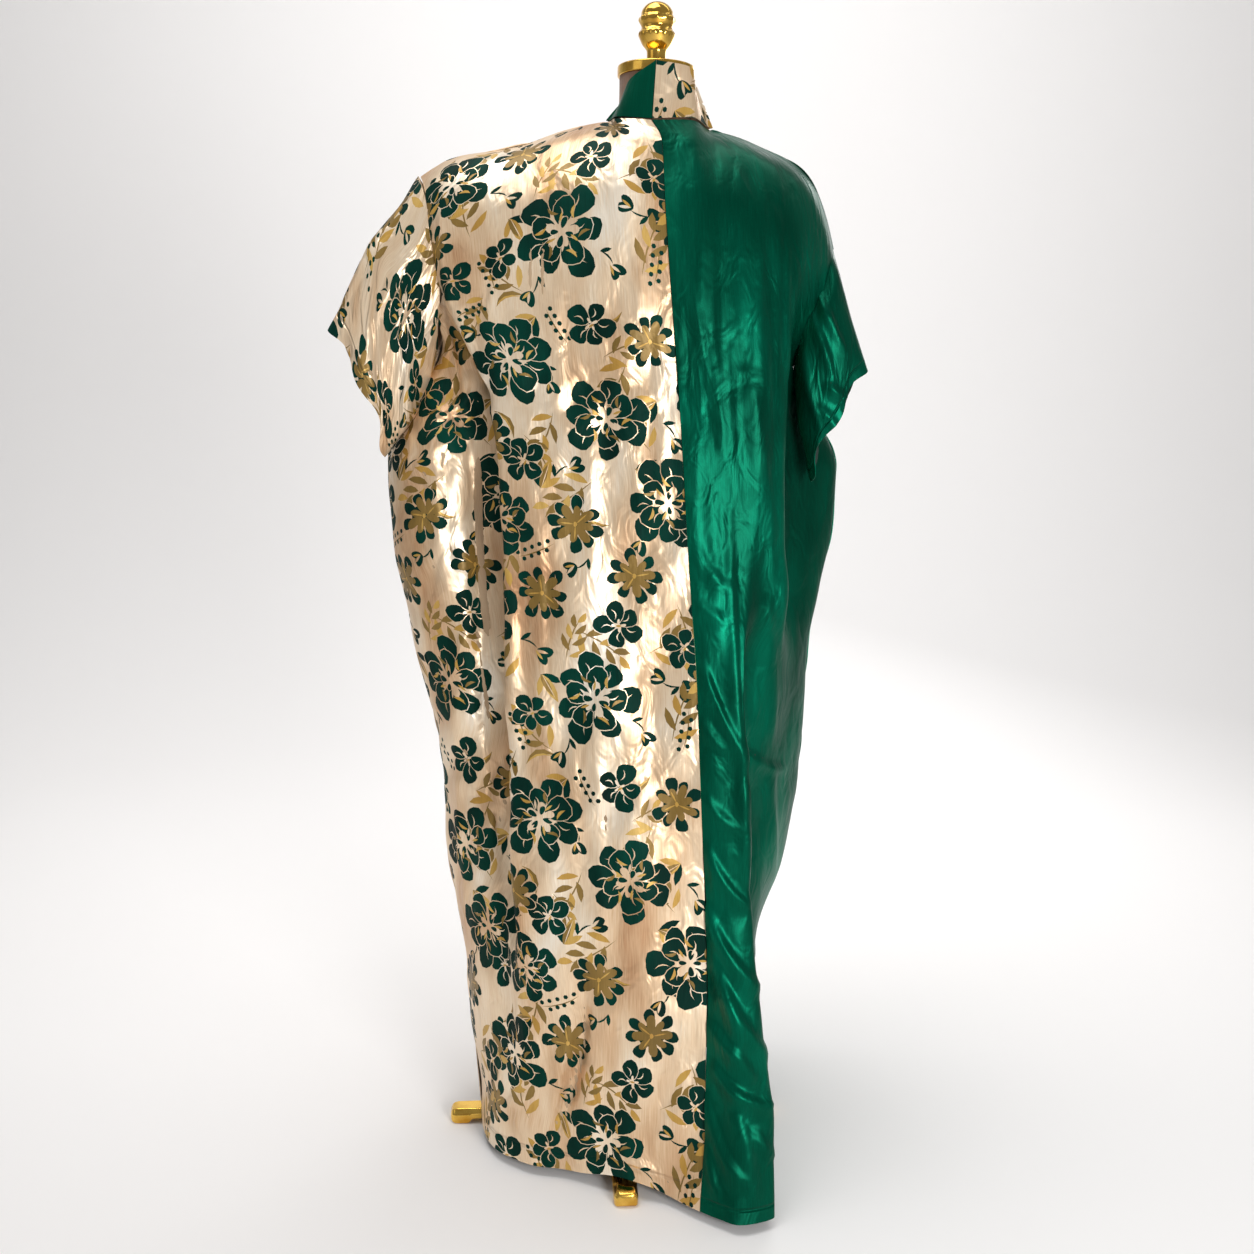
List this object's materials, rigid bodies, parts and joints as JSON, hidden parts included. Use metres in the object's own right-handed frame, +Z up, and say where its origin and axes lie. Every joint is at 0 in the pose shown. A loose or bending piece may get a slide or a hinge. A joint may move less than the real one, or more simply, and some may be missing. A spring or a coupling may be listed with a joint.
{
  "type": "brocade dress on a dress form",
  "caption": "Floor-length dress, half floral brocade and half satin, with a wrapped stand collar and short wide sleeves, worn open on a limbless dress form with a finial and a four-leg stand.",
  "frame": {"origin": "on the floor, under the middle of the whole object's box", "axes": "+Z is up. -Y is the garment's back, the side of the centre back seam, and +Y is its front, the side of the neck's V. Seen from -Y, the brocade half is at -X and the satin half at +X."},
  "size_m": [0.7364, 0.5356, 1.5758],
  "materials": {
    "brocade": "satin-faced floral brocade",
    "satin": "emerald satin",
    "form_cloth": "matt knit cover",
    "gold": "polished"
  },
  "bodies": {
    "root": {"back_left": "brocade", "front_left": "brocade", "sleeve_left": "brocade", "neck_band_right": "brocade", "back_right": "satin", "front_right": "satin", "sleeve_right": "satin", "neck_band_left": "satin", "form_torso": "form_cloth", "neck_cap": "gold", "finial": "gold", "pole": "gold", "hub": "gold", "leg_near": "gold", "leg_right": "gold", "leg_far": "gold", "leg_left": "gold"}
  },
  "joints": []
}
